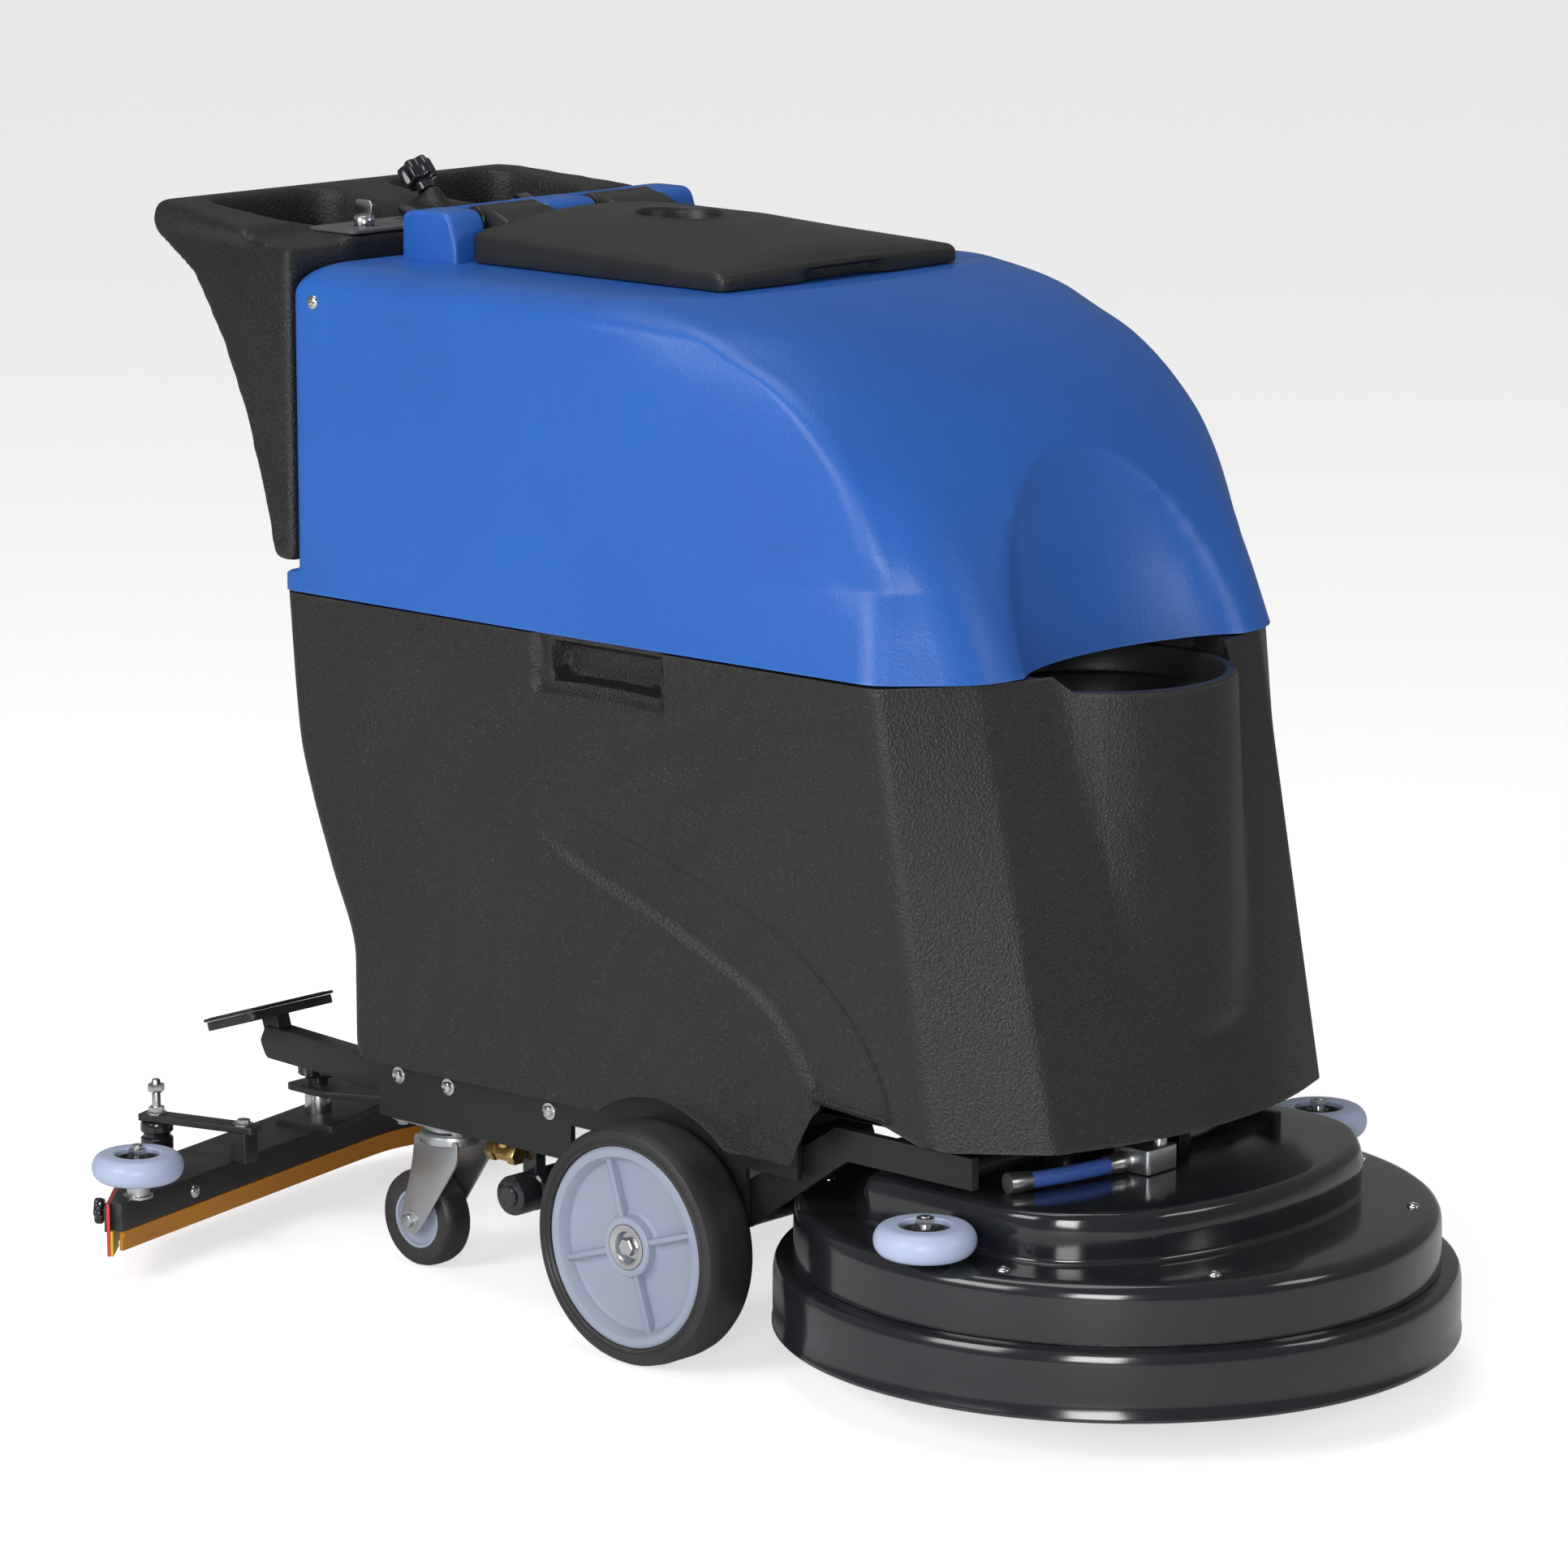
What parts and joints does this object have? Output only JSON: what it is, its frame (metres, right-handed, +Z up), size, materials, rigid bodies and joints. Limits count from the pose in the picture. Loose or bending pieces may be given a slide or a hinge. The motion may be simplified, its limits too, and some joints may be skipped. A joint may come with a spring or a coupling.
{
  "type": "walk-behind floor scrubber",
  "caption": "Battery floor scrubber: brush deck in front, drive wheels, swivel casters, V-shaped squeegee behind, tilting tank with lid, handle console.",
  "frame": {"origin": "on the floor, under the middle of the whole machine", "axes": "+X forward, the way the machine drives; +Y to its left; +Z up"},
  "size_m": [1.2046, 0.809, 0.9325],
  "materials": {
    "black_moulding": "black rotomoulded polyethylene, fine grain, about 55% rough",
    "blue_moulding": "blue rotomoulded polyethylene, fine orange-peel grain",
    "gloss_black": "black moulded plastic with a shine",
    "cast_beam": "cast aluminium under black gloss paint",
    "dark_steel": "steel with dark grey powder coat",
    "zinc_steel": "zinc-plated pressed steel",
    "bright_steel": "bright plated steel",
    "motor_casing": "motor in a cast aluminium casing",
    "battery": "lead-acid block in a black case",
    "grey_plastic": "grey-lilac moulded plastic",
    "panel_grey": "grey panel overlay, satin",
    "black_rubber": "black rubber",
    "black_tyre": "solid black tyre",
    "pale_rubber": "pale periwinkle polyurethane",
    "orange_rubber": "orange polyurethane blade",
    "red_rubber": "red polyurethane blade",
    "blue_braid": "rubber hose in a blue braid",
    "brass": "plain brass"
  },
  "bodies": {
    "chassis": {"solution_tank": "black_moulding", "filler_strainer": "grey_plastic", "battery_right": "battery", "battery_left": "battery", "chassis_frame": "dark_steel", "axle_shaft": "bright_steel", "transaxle": "dark_steel", "caster_mount_right": "zinc_steel", "caster_mount_left": "zinc_steel", "solution_filter": "gloss_black", "shutoff_valve": "brass"},
    "upper_tank": {"recovery_tank": "blue_moulding", "lid_hinge_pin": "bright_steel", "tank_hinge_rod": "bright_steel", "vacuum_motor": "motor_casing", "float_cage": "grey_plastic", "handle_console": "black_moulding", "control_panel": "panel_grey"},
    "lid": {"tank_lid": "black_moulding"},
    "flow_control": {"flow_knob": "gloss_black"},
    "key": {"key_switch": "bright_steel"},
    "brush_rocker": {"brush_switch": "gloss_black"},
    "vacuum_rocker": {"vacuum_switch": "gloss_black"},
    "arms": {"deck_arms": "dark_steel"},
    "deck": {"deck_cover": "gloss_black", "deck_skirt": "black_rubber", "brush_motor": "motor_casing", "spray_valve": "bright_steel", "deck_hose": "blue_braid"},
    "brush": {"brush_disc": "grey_plastic"},
    "squeegee_lift": {"squeegee_lift_arm": "dark_steel"},
    "squeegee": {"squeegee_swing_plate": "dark_steel", "squeegee_beam": "cast_beam", "front_blade": "orange_rubber", "rear_blade": "red_rubber", "rear_strap": "gloss_black", "guide_arm_right": "dark_steel", "guide_arm_left": "dark_steel"},
    "pedal": {"lift_pedal": "dark_steel", "pedal_pad": "black_rubber"},
    "trigger_right": {"trigger_right": "bright_steel"},
    "deck_roller_right": {"deck_roller_right": "pale_rubber"},
    "wheel_right": {"wheel_rim_right": "grey_plastic", "wheel_tyre_right": "black_tyre"},
    "caster_right": {"caster_fork_right": "zinc_steel"},
    "caster_wheel_right": {"caster_wheel_right": "black_tyre"},
    "clamp_knob_right": {"squeegee_knob_right": "gloss_black"},
    "side_roller_right": {"squeegee_roller_right": "pale_rubber"},
    "guide_right": {"guide_caster_right": "gloss_black"},
    "strap_knob_right": {"strap_knob_right": "gloss_black"},
    "trigger_left": {"trigger_left": "bright_steel"},
    "deck_roller_left": {"deck_roller_left": "pale_rubber"},
    "wheel_left": {"wheel_rim_left": "grey_plastic", "wheel_tyre_left": "black_tyre"},
    "caster_left": {"caster_fork_left": "zinc_steel"},
    "caster_wheel_left": {"caster_wheel_left": "black_tyre"},
    "clamp_knob_left": {"squeegee_knob_left": "gloss_black"},
    "side_roller_left": {"squeegee_roller_left": "pale_rubber"},
    "guide_left": {"guide_caster_left": "gloss_black"},
    "strap_knob_left": {"strap_knob_left": "gloss_black"}
  },
  "joints": [
    {"name": "tank_tilt", "type": "hinge", "parent": "chassis", "child": "upper_tank", "pos_m": [0.3223, 0.2545, 0.5985], "axis": [-1, 0, 0], "range_deg": [0, 75]},
    {"name": "lid_hinge", "type": "hinge", "parent": "upper_tank", "child": "lid", "pos_m": [-0.3027, 0, 0.899], "axis": [0, -1, 0], "range_deg": [0, 95]},
    {"name": "flow_knob_turn", "type": "hinge", "parent": "upper_tank", "child": "flow_control", "pos_m": [-0.4627, 0, 0.8985], "axis": [-0.6428, 0, 0.766], "range_deg": [0, 270]},
    {"name": "key_turn", "type": "hinge", "parent": "upper_tank", "child": "key", "pos_m": [-0.4097, -0.13, 0.8886], "axis": [0, 0, 1], "range_deg": [0, 90]},
    {"name": "brush_switch_rock", "type": "hinge", "parent": "upper_tank", "child": "brush_rocker", "pos_m": [-0.4097, -0.07, 0.8888], "axis": [0, -1, 0], "range_deg": [0, 6]},
    {"name": "vacuum_switch_rock", "type": "hinge", "parent": "upper_tank", "child": "vacuum_rocker", "pos_m": [-0.4097, 0.07, 0.8888], "axis": [0, -1, 0], "range_deg": [0, 6]},
    {"name": "deck_lift", "type": "hinge", "parent": "chassis", "child": "arms", "pos_m": [0.0873, 0, 0.128], "axis": [0, 1, 0], "range_deg": [0, 8.3]},
    {"name": "deck_level", "type": "hinge", "parent": "arms", "child": "deck", "pos_m": [0.3223, 0, 0.204], "axis": [0, 1, 0], "range_deg": [-8.3, 0]},
    {"name": "pedal_turn", "type": "hinge", "parent": "chassis", "child": "pedal", "pos_m": [-0.2527, -0.11, 0.1325], "axis": [0, 1, 0], "range_deg": [0, 10]},
    {"name": "brush_spin", "type": "hinge", "parent": "deck", "child": "brush", "pos_m": [0.3223, 0, 0], "axis": [0, 0, 1], "continuous": true},
    {"name": "squeegee_lift", "type": "hinge", "parent": "chassis", "child": "squeegee_lift", "pos_m": [-0.2627, 0, 0.15], "axis": [0, -1, 0], "range_deg": [0, 4.2]},
    {"name": "squeegee_swing", "type": "hinge", "parent": "squeegee_lift", "child": "squeegee", "pos_m": [-0.3427, 0, 0], "axis": [0, 0, 1], "range_deg": [-20, 20]},
    {"name": "trigger_slide_right", "type": "slide", "parent": "upper_tank", "child": "trigger_right", "axis": [1, 0, 0], "range_m": [0, 0.004], "stiffness_N_per_m": 400},
    {"name": "deck_roller_spin_right", "type": "hinge", "parent": "deck", "child": "deck_roller_right", "pos_m": [0.3343, -0.249, 0], "axis": [0, 0, 1], "continuous": true},
    {"name": "wheel_spin_right", "type": "hinge", "parent": "chassis", "child": "wheel_right", "pos_m": [0.0253, -0.243, 0.1], "axis": [0, 1, 0], "continuous": true},
    {"name": "caster_swivel_right", "type": "hinge", "parent": "chassis", "child": "caster_right", "pos_m": [-0.2777, -0.165, 0], "axis": [0, 0, 1], "continuous": true},
    {"name": "caster_spin_right", "type": "hinge", "parent": "caster_right", "child": "caster_wheel_right", "pos_m": [-0.3107, -0.165, 0.0427], "axis": [0, 1, 0], "continuous": true},
    {"name": "clamp_knob_right", "type": "hinge", "parent": "squeegee", "child": "clamp_knob_right", "pos_m": [-0.5377, -0.08, 0], "axis": [0, 0, 1], "continuous": true},
    {"name": "side_roller_right", "type": "hinge", "parent": "squeegee", "child": "side_roller_right", "pos_m": [-0.4577, -0.365, 0], "axis": [0, 0, 1], "continuous": true},
    {"name": "guide_swivel_right", "type": "hinge", "parent": "squeegee", "child": "guide_right", "pos_m": [-0.5627, -0.25, 0], "axis": [0, 0, 1], "continuous": true},
    {"name": "strap_knob_turn_right", "type": "hinge", "parent": "squeegee", "child": "strap_knob_right", "pos_m": [-0.48613, -0.37296, 0.057], "axis": [-0.7645, -0.6446, 0], "continuous": true},
    {"name": "trigger_slide_left", "type": "slide", "parent": "upper_tank", "child": "trigger_left", "axis": [1, 0, 0], "range_m": [0, 0.004], "stiffness_N_per_m": 400},
    {"name": "deck_roller_spin_left", "type": "hinge", "parent": "deck", "child": "deck_roller_left", "pos_m": [0.3343, 0.249, 0], "axis": [0, 0, 1], "continuous": true},
    {"name": "wheel_spin_left", "type": "hinge", "parent": "chassis", "child": "wheel_left", "pos_m": [0.0253, 0.243, 0.1], "axis": [0, 1, 0], "continuous": true},
    {"name": "caster_swivel_left", "type": "hinge", "parent": "chassis", "child": "caster_left", "pos_m": [-0.2777, 0.165, 0], "axis": [0, 0, 1], "continuous": true},
    {"name": "caster_spin_left", "type": "hinge", "parent": "caster_left", "child": "caster_wheel_left", "pos_m": [-0.3107, 0.165, 0.0427], "axis": [0, 1, 0], "continuous": true},
    {"name": "clamp_knob_left", "type": "hinge", "parent": "squeegee", "child": "clamp_knob_left", "pos_m": [-0.5377, 0.08, 0], "axis": [0, 0, 1], "continuous": true},
    {"name": "side_roller_left", "type": "hinge", "parent": "squeegee", "child": "side_roller_left", "pos_m": [-0.4577, 0.365, 0], "axis": [0, 0, 1], "continuous": true},
    {"name": "guide_swivel_left", "type": "hinge", "parent": "squeegee", "child": "guide_left", "pos_m": [-0.5627, 0.25, 0], "axis": [0, 0, 1], "continuous": true},
    {"name": "strap_knob_turn_left", "type": "hinge", "parent": "squeegee", "child": "strap_knob_left", "pos_m": [-0.48613, 0.37296, 0.057], "axis": [-0.7645, 0.6446, 0], "continuous": true}
  ],
  "couplings": [
    {"joint": "deck_level", "follows": "deck_lift", "ratio": -1},
    {"joint": "pedal_turn", "follows": "deck_lift", "ratio": 1.2}
  ]
}
